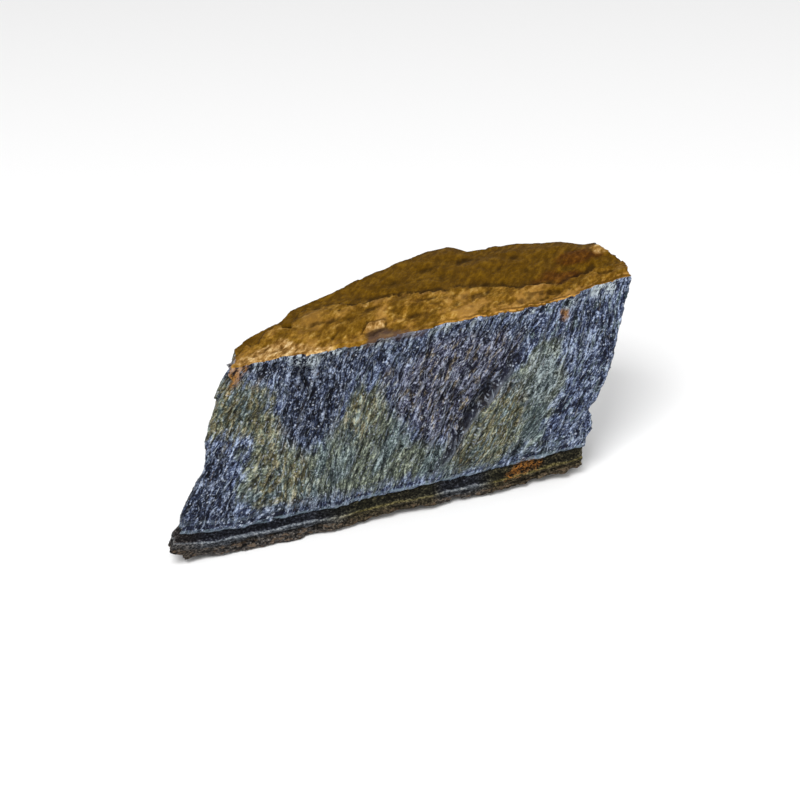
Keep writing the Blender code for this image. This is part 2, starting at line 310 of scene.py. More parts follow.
def top_relief(x, y, depth):
    """Rise of the crust above the plane of the top: the terrace with its ragged edge, ledges, pits, the
    corner lump, a granular roughness on the terrace and a faint one behind it."""
    ragged = 0.9 * swell(x / 3.2, x * 0, SEED + 70) + 0.45 * rough(x / 1.1, y / 1.6, SEED + 75)
    edge = line(TERRACE_LINE, x) + ragged
    on_terrace = ramp(edge + 0.45, edge - 0.15, y)
    slope, most = RISE_BEHIND
    relief = TERRACE_HEIGHT * on_terrace + (1 - on_terrace) * np.minimum(slope * (y - edge), most)
    broad = swell(x / 17, y / 8, SEED + 71) + 0.4 * swell(x / 4.5, y / 3, SEED + 72)
    relief += CRUST_SWELL * broad * ramp(0, 6, depth - y) * ramp(-1, 3, y)
    for lx, ly, half_x, half_y, height in LEDGES:
        wander = 0.35 * rough(x / 1.7, y / 1.2, SEED + 77)
        relief += height * dome(x - lx + wander, y - ly + wander, half_x, half_y)
    relief += CHIP_HEIGHT * ramp(-0.25, 0.3, inside(CHIP, x, y))
    for px, py, radius, depth_of_pit in CRUST_PITS:
        relief -= depth_of_pit * dome(x - px, y - py, radius, radius)
    lx, ly, radius, height = CORNER_LUMP
    relief += height * ramp(radius, 0.3 * radius, np.hypot(x - lx, y - ly)) - TERRACE_HEIGHT
    lip_from, lip_to, reach, height = RIGHT_LIP
    relief += height * ramp(lip_from, lip_to, x) * ramp(reach, 0, y)
    sweep, across = swept(x, y)
    grains = flakes(sweep / 1.5, across / 0.7, SEED + 80, 0.9) - 0.5
    relief += on_terrace * (0.07 * grains + 0.20 * rough(sweep / 4.2, across / 1.9, SEED + 84))
    return relief + (1 - on_terrace) * (0.16 * rough(sweep / 9, across / 3, SEED + 88) + 0.03 * grains)


def swept(x, y):
    """Place on the top along the sweep of its crust, to the back and right, and across it."""
    cosine, sine = np.cos(CRUST_SWEEP), np.sin(CRUST_SWEEP)
    return x * cosine + y * sine, y * cosine - x * sine


def underside(x, y, depth):
    """Height of the underside: flat where it bears, turned up to the broken edges all round."""
    front = ramp(UNDERSIDE_RIM, 0, y) * line(BOTTOM_EDGE, x)
    back = ramp(UNDERSIDE_RIM, 0, depth - y) * (1.3 + 0.8 * swell(x / 7, x * 0, SEED + 80))
    left = ramp(-6, -13, x) * 1.1
    right = ramp(69, 76, x) * 1.6
    turned_up = np.maximum(np.maximum(front, back), np.maximum(left, right))
    return turned_up + ramp(0, 1, turned_up) * 0.25 * rough(x / 1.7, y / 1.7, SEED + 92)


def crowd(t, amount):
    """Moves evenly spaced lines from 0 to 1 closer together near both ends, by a sine wave."""
    return t - amount * np.sin(2 * np.pi * t) / (2 * np.pi)


def shape(a, b, c):
    """Place on the stone of the block's point that is a along, b back and c up, each 0 to 1: the box is
    stretched between the outlines, then each face's relief moves it, less the deeper it lies."""
    z = line(TOP_FRONT, a * TOP_LENGTH) * c
    left = line(LEFT_EDGE, z) + LEFT_END_SLANT * b * (0.6 + 0.4 * c)
    right = line(RIGHT_EDGE, z) + line(RIGHT_BULGE, b) * line(BULGE_SHARE, c)
    x = left * (1 - a) + right * a
    along_back = LEFT_END_SLANT * (1 - a) + (TOP_LENGTH + RIGHT_BULGE[-1][1]) * a
    depth = line(BACK_LINE, along_back) * (1 - line(BACK_UNDERCUT, a) * (1 - c))
    y = depth * b
    thin = np.minimum(1, depth / 9)
    bottom = underside(x, y, depth) * (1 - c)
    z = z + bottom
    near_front, near_back = np.exp(-y / FADE), np.exp(-(depth - y) / FADE)
    moved_y = y + thin * (back_relief(x, z) * near_back - front_relief(x, z) * near_front)
    moved_y = moved_y + line(CORNER_CURVE, x) * ramp(*CURVE_HEIGHTS, z) * (1 - b)
    near_left, near_right = np.exp(-(x - left) / FADE), np.exp(-(right - x) / FADE)
    moved_x = x + end_relief(y, z) * near_right - end_relief(y, z + 50) * near_left
    moved_z = bottom + (line(TOP_FRONT, x) + top_relief(x, y, depth)) * c
    return np.stack((moved_x, moved_y, moved_z), axis=1), x, y, z


# ---------------- meshes
def block_skin(cells):
    """The six sides of a block of cells as one closed sheet: (places from 0 to 1, corners of each face,
    side of each face). Side 2k is the low side along axis k and 2k + 1 the high one."""
    quads, sides = [], []
    for axis in range(3):
        u, v = (axis + 1) % 3, (axis + 2) % 3
        iu, iv = (grid.ravel() for grid in np.meshgrid(np.arange(cells[u]), np.arange(cells[v])))
        for high in (0, 1):
            around = ((0, 0), (1, 0), (1, 1), (0, 1)) if high else ((0, 0), (0, 1), (1, 1), (1, 0))
            quad = np.empty((iu.size, 4, 3), np.int64)
            for corner, (du, dv) in enumerate(around):
                quad[:, corner, axis] = high * cells[axis]
                quad[:, corner, u] = iu + du
                quad[:, corner, v] = iv + dv
            quads.append(quad)
            sides.append(np.full(iu.size, 2 * axis + high))
    quads = np.concatenate(quads)
    keys = (quads[..., 0] * (cells[1] + 1) + quads[..., 1]) * (cells[2] + 1) + quads[..., 2]
    _, first, corners = np.unique(keys, return_index=True, return_inverse=True)
    places = quads.reshape(-1, 3)[first] / np.array(cells)
    return places, corners.reshape(-1, 4), np.concatenate(sides)


def in_scene(name, data):
    """An object with this data, linked to the scene."""
    made = bpy.data.objects.new(name, data)
    bpy.context.scene.collection.objects.link(made)
    return made


def new_mesh(name, places, faces):
    """A mesh object from an array of places in metres and one of faces with equal numbers of corners."""
    mesh = bpy.data.meshes.new(name)
    mesh.vertices.add(len(places))
    mesh.vertices.foreach_set("co", places.astype(np.float32).ravel())
    mesh.loops.add(faces.size)
    mesh.loops.foreach_set("vertex_index", faces.astype(np.int32).ravel())
    mesh.polygons.add(len(faces))
    mesh.polygons.foreach_set("loop_start", np.arange(0, faces.size, faces.shape[1], dtype=np.int32))
    mesh.update(calc_edges=True)
    return in_scene(name, mesh)


def note(mesh, name, *columns):
    """Writes three numbers a vertex to the mesh, for its materials to read."""
    layer = mesh.attributes.new(name, "FLOAT_VECTOR", "POINT")
    layer.data.foreach_set("vector", np.stack(columns, axis=1).astype(np.float32).ravel())


def face_points(side, along, z):
    """The block's place of points on one side, at x or at a share of the depth along it and at height z."""
    up = np.clip(z / line(TOP_FRONT, 0.5 * TOP_LENGTH), 0, 1)
    if side in ("left", "right"):
        return np.full(z.shape, float(side == "right")), np.clip(along, 0, 1), up
    left, right = line(LEFT_EDGE, z), line(RIGHT_EDGE, z)
    return np.clip((along - left) / (right - left), 0, 1), np.full(z.shape, float(side == "back")), up


def splinters_on(side, count, random):
    """Splinters of one side: a path up the fibres that bends by a sine wave, and round it rings of a left
    foot, a crest and a right foot, widest halfway and closed at both tips. The feet are sunk in the face."""
    half = np.linspace(-0.5, 0.5, SPLINTER_RINGS)[None, :]
    full = np.sqrt(1 - 0.96 * (2 * half) ** 2)
    share, height, bend, wide, tall, stray = random.random((6, count, 1))
    shortest, longest = SPLINTER_REACH
    reach = shortest + (longest - shortest) * random.random((count, 1)) ** 3
    middle_z = 6.5 + 33.5 * height
    z = middle_z + reach * half
    wander = SPLINTER_WANDER * np.sin(6 * bend + 5 * half) * reach / longest
    wander = wander + SPLINTER_STRAY * (2 * stray - 1) * (z - middle_z)
    if side in ("left", "right"):
        along, per_mm = 0.04 + 0.92 * share + wander / 20, 1 / 20
    else:
        start = line(LEFT_EDGE, middle_z) * (1 - share) + line(RIGHT_EDGE, middle_z) * share
        along, per_mm = start + line(FIBRE_LEAN, start) * (z - middle_z) + wander, 1
    breadth = full * (SPLINTER_BREADTH[0] + (SPLINTER_BREADTH[1] - SPLINTER_BREADTH[0]) * wide ** 2)
    crest = (SPLINTER_CREST[0] + (SPLINTER_CREST[1] - SPLINTER_CREST[0]) * tall ** 2 + SPLINTER_SUNK) * full
    outward = {"front": (0, -1, 0), "back": (0, 1, 0), "left": (-1, 0, 0), "right": (1, 0, 0)}[side]
    rows = []
    for across, rise in ((-0.5, 0), (0, crest), (0.5, 0)):
        at = face_points(side, along + across * breadth * per_mm, z)
        skin, x, y, on_z = shape(*(values.ravel() for values in at))
        out = (rise - SPLINTER_SUNK + 0 * z).ravel()
        rows.append(np.column_stack((skin + out[:, None] * np.array(outward), x, y, on_z)))
    rings = np.stack(rows, axis=1).reshape(-1, 6)
    tints = np.repeat(random.random((count, 3)), 3 * SPLINTER_RINGS, axis=0)
    faces = prism_faces(count)
    return rings, tints, faces if side in ("front", "right") else faces[:, ::-1]


def prism_faces(count):
    """Triangles that close each run of three-cornered rings along its sides and over both its tips."""
    ring = np.arange(SPLINTER_RINGS - 1)[:, None] * 3
    corner = np.arange(3)[None, :]
    near, beside = (ring + corner).ravel(), (ring + (corner + 1) % 3).ravel()
    last = 3 * (SPLINTER_RINGS - 1)
    one = np.concatenate((np.stack((near, beside, beside + 3), 1), np.stack((near, beside + 3, near + 3), 1),
                          [(0, 2, 1), (last, last + 1, last + 2)]))
    return (one[None] + 3 * SPLINTER_RINGS * np.arange(count)[:, None, None]).reshape(-1, 3)


def summed(vertices, values, count):
    """The sum at each vertex of the values given for it."""
    return np.stack([np.bincount(vertices, values[:, k], count) for k in range(3)], 1)


def hollows(places, faces, rounds):
    """How deep each vertex lies below its surroundings, in the places' unit: its distance below the mean
    of its neighbours, taken again and again over a wider ring, along its normal."""
    edges = np.concatenate([np.stack((faces[:, k], faces[:, (k + 1) % 4]), 1) for k in range(4)])
    count = np.bincount(edges[:, 0], minlength=len(places))[:, None].astype(float)
    first, second, third, fourth = (places[faces[:, k]] for k in range(4))
    cross = np.repeat(np.cross(third - first, fourth - second), 4, axis=0)
    normal = summed(faces.ravel(), cross, len(places))
    normal /= np.linalg.norm(normal, axis=1, keepdims=True) + 1e-12
    smooth = places
    for _ in range(rounds):
        smooth = summed(edges[:, 0], smooth[edges[:, 1]], len(places)) / count
    return ((smooth - places) * normal).sum(axis=1)


# ---------------- where the colours lie
OLIVE_ZONES = [
    [(-7.5, 37), (-1.5, 38), (4.5, 37), (8, 33), (8.5, 27), (10.5, 22), (14, 19.5), (19, 24), (22, 31),
     (28, 32), (31, 26), (34.5, 21), (37, 17.5), (43, 13.5), (43, 8), (12, 7.8), (3, 8.8), (-2, 12),
     (-1, 17), (1, 23), (-3, 26.5), (-8.5, 26.5)],
    [(63.5, 34), (68, 33), (69.5, 25), (66.5, 12), (66, 7.5), (43, 7.5), (42, 10), (46, 17), (49.5, 23.5),
     (56, 28)],
]
NAVY_ZONES = [
    [(21, 39.4), (23, 33.4), (31, 33.2), (44, 33.8), (56, 32.4), (61.5, 39.4)],
    [(-1, 41), (0.5, 37.5), (8.5, 35), (8.5, 26), (10.5, 22), (14, 20), (18.5, 23), (21.5, 29), (23, 34),
     (25, 39.4), (12, 40)],
    [(-16, 6), (-14, 16), (-9, 23.5), (-4, 23.5), (-2.5, 18), (-1, 6)],
    [(-12, 5), (-12, 8.5), (20, 8), (22, 5)],
]
BRIGHT_BLUE_ZONE = [
    (69.5, 33), (70, 22), (66.5, 9), (74, 8), (82, 26), (84, 37), (74, 38), (62, 38), (62, 35.5)
]
VIOLET_ZONE = [(30, 34), (44, 37), (57, 36), (59, 31), (53, 25), (45, 15.5), (38, 16.5), (35, 21), (31, 27)]
WARM_ZONES = [
    [(-8.5, 38), (3, 38), (8, 33), (8.5, 22), (14, 14), (12, 8), (2, 9), (1, 20), (-9, 26)],
    [(21, 30), (27, 31), (29, 24), (26, 20), (20, 22)],
    [(46, 9), (46.5, 15), (49, 24), (55, 27), (60, 22), (60, 10)],
]
# painted highlights: pale patches on small ledges near the top left, where they catch the light
LEDGE_HIGHLIGHTS = [
    [(9, 41.5), (10.2, 39.6), (12, 38.2), (14.5, 37.4), (16.5, 38.2), (17, 41.5)],
    [(18.6, 41.5), (19, 39.2), (20.8, 38.8), (22, 41.5)],
]
LIGHT_PATCH = [(60, 22), (62, 31), (68, 31), (69, 24), (67, 18)]
LIGHT_SHARE = 0.4
RUST_SPOTS = [
    [(56.8, 3.4), (58, 4.6), (59, 6.2), (62, 6), (65, 5.6), (64.6, 4.6), (62, 4.4), (60, 3.2)],
    [(-4, 41.5), (0.6, 41), (1.4, 39.8), (-0.4, 38), (-1.8, 36), (-5, 37)],
    [(68.8, 38.4), (69.9, 38.8), (70, 37.6), (69.2, 37.2)],
]
RED_BROWN_PATCHES = [
    [(74.5, 13), (77, 17.5), (84, 17.5), (85.5, 13.5), (80, 11.5)],
    [(67, 9), (71, 11), (78, 10), (77, 6.8), (72, 6)],
]
SANDY_EDGE = [(-1, -1.5), (0, 2.2), (4, 3.4), (8, 5.8), (11.5, 5.6), (12.5, 2.8), (18.5, 0.8), (19, -1.5)]
# painted shadow in front of the chip, over the crust's front edge and just down the front
CHIP_SHADOW = [
    (25.5, -1.5), (26, 0.6), (27.8, 3.2), (31.4, 3.6), (31.8, 1.2), (34, 0.3), (38, -0.5), (39, -1.5)
]
SHADED_CRUST = [(14, 9), (17, 15), (21, 18.5), (29, 15.5), (31, 9.5), (26, 5.5), (18, 4.5)]
NUB = [(83.8, 14.2), (84.6, 19), (88.5, 20.5), (88.5, 14.5)]
BASE_OLIVE = [(14, 0), (24, 1), (40, 0.9), (43, 0.1), (50, 0.1), (54, 1)]
BASE_BROWN = [(-12, 1), (-8, 0.1), (24, 0.1), (32, 0.4), (42, 0.1), (52, 0.1), (60, 0.5)]
RIM_DEPTH = [
    (-15, 0.2), (8, 0.2), (12, 0.4), (20, 0.7), (27, 0.8), (31, 0.5), (36, 0.3), (48, 0.3), (54, 0.45),
    (62, 0.5), (67, 0.4), (72, 0.1), (84, 0.1)
]
RIM_REACH = 1.5
HOLLOW_ROUNDS = 6


def zone(outlines, u, v, wander, soft):
    """1 inside any of the outlines and 0 outside, over a soft edge that wanders."""
    depth_in = np.max([inside(outline, u, v) for outline in outlines], axis=0)
    return ramp(-soft, soft, depth_in + wander)


def write_notes(mesh, hollow, x, y, z):
    """Writes where each colour lies to a mesh: fibre directions, layers, tints, marks and crust zones."""
    across = up_fibre(x, z)
    waver = 0.35 * swell(across / 5, z / 9, SEED + 101) + 0.28 * swell(across / 1.7, z / 2.2, SEED + 102)
    note(mesh, "fibre_place", across + waver, y, z)

    below_edge = line(TOP_FRONT, x) - z
    rim_place = (below_edge - ramp(RIM_REACH, 0, below_edge) * y) / RIM_REACH
    note(mesh, "layers", z - line(BAND_TOP, x), rim_place, ramp(30, 52, x))

    note(mesh, "base_tints", line(BASE_OLIVE, x), line(BASE_BROWN, x), z - line(GOLD_LINE, x))

    front = ramp(7, 2.5, y)
    wander = 2 * rough(across / 2.6, z / 6, SEED + 200)
    patches = swell(across / 15 + y / 9, z / 17, SEED + 205) + 0.3 * wander
    olive = front * zone(OLIVE_ZONES, x, z, wander, 2.6) + (1 - front) * ramp(-0.1, 0.6, patches)
    navy = front * zone(NAVY_ZONES, x, z, wander, 2.4) + (1 - front) * ramp(-0.1, -0.7, patches)
    navy = np.maximum(navy, 0.35 * front * zone([BRIGHT_BLUE_ZONE], x, z, wander, 2.4))
    violet = front * zone([VIOLET_ZONE], x, z, wander, 2.6)
    note(mesh, "tints", olive, navy, violet)

    speckle = 0.6 * rough(x / 0.9, z / 0.9, SEED + 210)
    rust = front * zone(RUST_SPOTS, x, z, 1.2 * speckle, 0.7)
    # painted highlight: a pale broken band along the top of the sides
    rim_highlight = 1.2 * ramp(38, 40.4, z) * ramp(-0.2, 0.5, swell(across / 1.3, z / 1.6, SEED + 212))
    pale = np.maximum(front * zone(LEDGE_HIGHLIGHTS, x, z, speckle, 0.7), rim_highlight)
    pale = np.maximum(pale, LIGHT_SHARE * front * zone([LIGHT_PATCH], x, z, wander, 1.8))
    note(mesh, "marks", rust, pale, hollow)

    warm = zone(WARM_ZONES, x, z, wander, 3) * front + (1 - front) * ramp(-0.4, 0.4, patches)
    # painted shadow: a dark line along the crack, where its step would lie in shade
    gap = beyond_crack(x, z) + 0.5 * swell(z / 2.5, z * 0, SEED + 225)
    crack = front * ramp(-2.6, -1.4, gap) * ramp(0.4, -0.3, gap) * along_crack(z)
    # painted shadow in front of the chip, kept off the chip itself
    chip_shadow = zone([CHIP_SHADOW], x, y - below_edge, 0.5 * rough(x / 1.2, y + z, SEED + 227), 0.6)
    chip_shadow = chip_shadow * ramp(0.2, -0.2, inside(CHIP, x, y)) * ramp(3, 1.5, below_edge)
    note(mesh, "moods", warm, crack, chip_shadow)

    ragged = 0.9 * swell(x / 3.2, x * 0, SEED + 70) + 0.45 * rough(x / 1.1, y / 1.6, SEED + 75)
    behind = y - line(TERRACE_LINE, x) - ragged
    light_strip = 0.5 * ramp(3, -5, behind) + 0.5 * ramp(0.5, -0.5, behind)
    shaded = zone([SHADED_CRUST], x, y, 1.2 * rough(x / 3, y / 2, SEED + 213), 2.5)
    light_strip = light_strip - 0.45 * shaded
    nub = zone([NUB], x, y, 0.3 * rough(x, y, SEED + 214), 0.5)
    tongue_x, tongue_y, half_x, half_y, _ = LEDGES[0]
    tongue = dome(x - tongue_x, y - tongue_y, half_x, half_y)
    light_strip = np.max([light_strip, 0.7 * nub, tongue], axis=0)
    red_brown = zone(RED_BROWN_PATCHES, x, y, 1.2 * rough(x / 3, y / 1.6, SEED + 215), 1.2)
    sand = zone([SANDY_EDGE], x, y, 0.9 * rough(x / 2, y / 1, SEED + 220), 0.9)
    ticks = ramp(0.6, 0.1, np.abs(behind + 0.5)) * ramp(27, 30, x) * ramp(50, 44, x)
    ticks = 0.6 * ticks * ramp(-0.2, 0.4, rough(x / 1.2, y / 1.2, SEED + 216))
    chip = ramp(-0.1, 0.3, inside(CHIP, x, y))
    sand = np.max([sand, ticks, 0.35 * nub, 0.3 * tongue, chip], axis=0)
    note(mesh, "crust_zones", light_strip, red_brown, sand)


# ---------------- nodes
def tone(red, green, blue):
    """A colour's 0 to 255 screen values as linear light, opaque."""
    channels = np.array((red, green, blue)) / 255
    linear = np.where(channels <= 0.04045, channels / 12.92, ((channels + 0.055) / 1.055) ** 2.4)
    return (*linear.tolist(), 1)


def put(net, kind, settings, inputs):
    """Adds a node with its settings, and gives each input, by name or number, a value or a link."""
    node = net.nodes.new("ShaderNode" + kind)
    for name, value in settings.items():
        setattr(node, name, value)
    for name, value in inputs.items():
        if isinstance(value, bpy.types.NodeSocket):
            net.links.new(value, node.inputs[name])
        else:
            node.inputs[name].default_value = value
    return node


def calc(net, operation, *values):
    """One step of arithmetic on sockets and numbers."""
    return put(net, "Math", {"operation": operation}, dict(enumerate(values))).outputs[0]


def times(net, first, second):
    """The product of two values."""
    return calc(net, "MULTIPLY", first, second)


def scaled(net, value, by, more):
    """The value times by, and more added."""
    return calc(net, "MULTIPLY_ADD", value, by, more)


def span(net, value, low, high):
    """0 at low, 1 at high and a smooth step between, low and high in either order."""
    node = put(net, "MapRange", {"interpolation_type": "SMOOTHSTEP"},
               {"Value": value, "From Min": low, "From Max": high})
    return node.outputs["Result"]


def mix(net, factor, first, second, blend="MIX"):
    """The first colour, and where the factor is 1 the second, blended."""
    node = put(net, "Mix", {"data_type": "RGBA", "blend_type": blend}, {0: factor, 6: first, 7: second})
    return node.outputs[2]


def shades(net, value, stops):
    """Colour along a scale of (place, colour) stops."""
    node = put(net, "ValToRGB", {}, {"Fac": value})
    scale = node.color_ramp
    while len(scale.elements) < len(stops):
        scale.elements.new(0.5)
    for element, (place, colour) in zip(scale.elements, stops):
        element.position = place
        element.color = colour
    return node.outputs["Color"]


def noise(net, place, scale, detail, roughness=0.6):
    """Cloudy value about a half."""
    given = {"Vector": place, "Scale": scale, "Detail": detail, "Roughness": roughness}
    return put(net, "TexNoise", {}, given).outputs["Fac"]


def read_note(net, name):
    """The three numbers that the skin notes for a place."""
    vector = put(net, "Attribute", {"attribute_name": name}, {}).outputs["Vector"]
    return put(net, "SeparateXYZ", {}, {"Vector": vector}).outputs


def stretched(net, place, width, length):
    """A place measured in grains of that width across and that length up."""
    size = put(net, "CombineXYZ", {}, {"X": width, "Y": width, "Z": length}).outputs["Vector"]
    return put(net, "VectorMath", {"operation": "DIVIDE"}, {0: place, 1: size}).outputs["Vector"]


def new_group(name, inputs, outputs):
    """An empty node group with named vector and value sockets: (its net, its inputs, its output node)."""
    net = bpy.data.node_groups.new(name, "ShaderNodeTree")
    for socket in inputs:
        kind = "NodeSocketVector" if socket == "Place" else "NodeSocketFloat"
        net.interface.new_socket(socket, in_out="INPUT", socket_type=kind)
    for socket in outputs:
        net.interface.new_socket(socket, in_out="OUTPUT", socket_type="NodeSocketFloat")
    entry, leave = net.nodes.new("NodeGroupInput"), net.nodes.new("NodeGroupOutput")
    return net, entry.outputs, leave


def send(net, leave, values):
    """Links a group's results to its output node."""
    for name, value in values.items():
        net.links.new(value, leave.inputs[name])


def cells(net, place, feature):
    """Scattered cells, one of them round each random point."""
    return put(net, "TexVoronoi", {"feature": feature}, {"Vector": place, "Scale": 1}).outputs


def tone_of_cell(net, place):
    """One random value for the whole of each scattered cell."""
    return put(net, "SeparateColor", {}, {"Color": cells(net, place, "F1")["Color"]}).outputs["Red"]


GRIT_FINENESS = 2.1                  # grains to the millimetre
STREAK_FROM, STREAK_TO = 1.09, 1.54


def fibre_streaks_group():
    """Fibre ends and strands: Streak from 0, dark, to 1, bright; Glint, a mask of painted glints, small
    bright grains and thin wavering lit lines; the gap mask, painted shadows beside those lines and dark
    joints between bundles; the slot mask, painted shade in narrow hollows along the fibres; and Height."""
    outputs = ("Streak", "Glint", "Gap_and_shadow", "Slot_shade", "Height")
    net, given, leave = new_group("fibre_streaks", ("Place", "Width", "Length"), outputs)
    place = stretched(net, given["Place"], given["Width"], given["Length"])
    longer = stretched(net, place, 2.2, 2.8)
    bundle = noise(net, longer, 0.3, 2)
    strand = noise(net, longer, 1, 4, 0.75)
    grit = noise(net, given["Place"], GRIT_FINENESS, 2, 0.8)
    strip = tone_of_cell(net, stretched(net, place, 1.7, 2))
    grains = cells(net, stretched(net, given["Place"], 0.42, 0.5), "F1")
    lucky = put(net, "SeparateColor", {}, {"Color": grains["Color"]}).outputs["Red"]
    edge = cells(net, longer, "DISTANCE_TO_EDGE")["Distance"]
    waver = noise(net, stretched(net, place, 3, 6), 1, 2, 0.5)
    together = scaled(net, bundle, 0.6, times(net, strand, 0.85))
    together = scaled(net, grit, 0.95, together)
    together = scaled(net, strip, 0.2, together)
    streak = span(net, together, STREAK_FROM, STREAK_TO)
    # painted glints: small bright grains
    grain = times(net, span(net, lucky, 0.76, 0.92), span(net, grains["Distance"], 0.5, 0.25))
    # painted highlight: thin wavering lit lines along the fibres
    crest = span(net, calc(net, "ABSOLUTE", calc(net, "SUBTRACT", waver, 0.52)), 0.012, 0.003)
    crest = times(net, crest, span(net, strand, 0.46, 0.6))
    # painted shadow: dark lines just beside the lit lines
    foot = span(net, calc(net, "ABSOLUTE", calc(net, "SUBTRACT", waver, 0.49)), 0.018, 0.005)
    foot = times(net, foot, span(net, bundle, 0.45, 0.55))
    split = times(net, span(net, edge, 0.14, 0.03), span(net, strand, 0.56, 0.4))
    # painted shade: dark narrow hollows along the fibres
    slot_shade = span(net, noise(net, stretched(net, place, 2.4, 4), 1, 3, 0.6), 0.42, 0.35)
    height = scaled(net, grit, 0.4, times(net, strip, 0.25))
    height = scaled(net, strand, 0.6, height)
    send(net, leave, {"Streak": streak, "Glint": calc(net, "MAXIMUM", grain, crest),
                       "Gap_and_shadow": calc(net, "MAXIMUM", foot, split), "Slot_shade": slot_shade, "Height": height})


def stone_grain_group():
    """Granular stone: Grain from 0 to 1, Cloud, a broad unevenness from 0 to 1, and Height."""
    net, given, leave = new_group("stone_grain", ("Place", "Width", "Length"), ("Grain", "Cloud", "Height"))
    place = stretched(net, given["Place"], given["Width"], given["Length"])
    grain = noise(net, place, 1, 4, 0.65)
    cloud = noise(net, place, 0.17, 3)
    send(net, leave, {"Grain": span(net, grain, 0.34, 0.68), "Cloud": span(net, cloud, 0.35, 0.65),
                       "Height": grain})


def new_material(name):
    """A material with its Principled shader: (material, its net of nodes, shader)."""
    material = bpy.data.materials.new(name)
    material.use_nodes = True
    net = material.node_tree
    return material, net, net.nodes["Principled BSDF"]


def finish_stone(net, shader, colour, roughness, height, gloss):
    """Links colour, roughness and bump to the shader, and sets how much it reflects."""
    net.links.new(colour, shader.inputs["Base Color"])
    net.links.new(roughness, shader.inputs["Roughness"])
    bump = put(net, "Bump", {}, {"Strength": 1, "Distance": BUMP_DISTANCE, "Height": height})
    net.links.new(bump.outputs["Normal"], shader.inputs["Normal"])
    shader.inputs["Specular IOR Level"].default_value = gloss


def pattern(net, group, place, width, length):
    """The pattern of the node group of that name at a place, in grains of that size in millimetres."""
    given = {"Place": place, "Width": width, "Length": length}
    return put(net, "Group", {"node_tree": bpy.data.node_groups[group]}, given).outputs


def scale_of(*colours):
    """Colours from dark to bright as stops spread for the fibre streaks."""
    return list(zip((0, 0.28, 0.55, 0.85, 1), (tone(*colour) for colour in colours)))


BLUE = scale_of((17, 20, 36), (44, 52, 77), (82, 93, 122), (127, 141, 170), (176, 190, 214))
NAVY = scale_of((6, 7, 15), (19, 23, 38), (46, 54, 75), (90, 100, 124), (152, 164, 186))
OLIVE = scale_of((46, 51, 45), (67, 73, 65), (92, 99, 85), (122, 130, 112), (166, 173, 154))
TEAL = scale_of((38, 48, 52), (62, 74, 78), (87, 101, 103), (118, 134, 136), (160, 176, 180))
WARM = scale_of((48, 46, 30), (74, 72, 50), (102, 100, 74), (133, 131, 102), (174, 170, 142))
VIOLET = scale_of((16, 16, 30), (42, 43, 60), (76, 78, 98), (118, 122, 142), (164, 170, 188))
RUSTY = scale_of((30, 26, 16), (64, 55, 38), (100, 88, 62), (136, 122, 92), (176, 162, 134))
GOLD = scale_of((98, 66, 10), (118, 83, 18), (138, 100, 30), (157, 118, 44), (184, 148, 78))
BROWN = scale_of((74, 50, 1), (83, 57, 2), (92, 64, 3), (103, 73, 6), (116, 84, 12))
RED_BROWN = scale_of((56, 26, 2), (66, 33, 2), (78, 42, 4), (90, 50, 6), (104, 62, 14))
SAND = scale_of((100, 68, 26), (138, 102, 50), (170, 132, 78), (200, 166, 112), (234, 208, 160))
SLATE_DARK = scale_of((8, 9, 14), (20, 22, 30), (36, 39, 50), (60, 64, 76), (96, 100, 110))
OLIVE_DARK = scale_of((10, 10, 6), (26, 26, 18), (44, 44, 32), (68, 66, 48), (100, 96, 72))
SLATE_PALE = scale_of((56, 60, 66), (84, 90, 98), (110, 116, 124), (136, 142, 148), (164, 168, 172))
OLIVE_PALE = scale_of((48, 44, 24), (74, 68, 38), (98, 90, 52), (122, 113, 70), (154, 143, 98))
SLATE_LOW = scale_of((22, 24, 28), (42, 45, 50), (63, 67, 73), (88, 92, 98), (124, 128, 132))
OLIVE_LOW = scale_of((18, 16, 10), (38, 34, 22), (62, 56, 38), (88, 80, 56), (124, 114, 84))
BROWN_DARK = scale_of((16, 13, 10), (38, 32, 25), (60, 52, 42), (88, 77, 63), (124, 110, 92))


# thin lines, each from and to a height, with its share and colour: over the base, and along the crust's edge
BASE_LINES = ((-0.2, 0.9, 0.8, (108, 124, 136)), (1.15, 1.7, 0.95, (24, 28, 46)),
              (1.9, 2.8, 0.35, (104, 116, 128)), (3, 3.5, 0.55, (30, 34, 52)))
RIM_LINES = ((-0.9, -0.6, 0.5, (176, 130, 68)), (-0.5, -0.15, 0.75, (72, 40, 16)),
             (-0.05, 0.12, 0.8, (196, 146, 80)), (0.2, 0.5, 0.7, (84, 54, 32)))
BUMP_DISTANCE = 0.0005              # in metres
FIBRE_GLOSS, CRUST_GLOSS = 0.07, 0.04
ALONG_SWEEP = (0.45, 1, 1)          # how the crust's grain is drawn out


def thin_lines(net, lines, value, soft, share):
    """Layers of colour from a table of lines: each lies where the value is between its two heights, over
    soft edges, and as strongly as the share says."""
    layers = []
    for low, high, strength, over in lines:
        risen, fallen = span(net, value, low - soft, low + soft), span(net, value, high + soft, high - soft)
        layers.append((times(net, times(net, risen, fallen), share), strength, tone(*over)))
    return layers


def laid_over(net, colour, layers):
    """The colour with layers over it in turn: each a mask, its share and its colour."""
    for mask, share, over in layers:
        colour = mix(net, times(net, mask, share), colour, over)
    return colour


def shaded(net, colour, hollow, deep, shade):
    """The colour, darkened by painted shade in hollows, the most in deep ones."""
    return mix(net, times(net, span(net, hollow, 0.01, deep), 0.6), colour, shade, "MULTIPLY")


def stone_place(net):
    """Place in the stone in millimetres."""
    place = put(net, "TexCoord", {}, {}).outputs["Object"]
    return put(net, "VectorMath", {"operation": "SCALE"}, {0: place, "Scale": 1000}).outputs["Vector"]


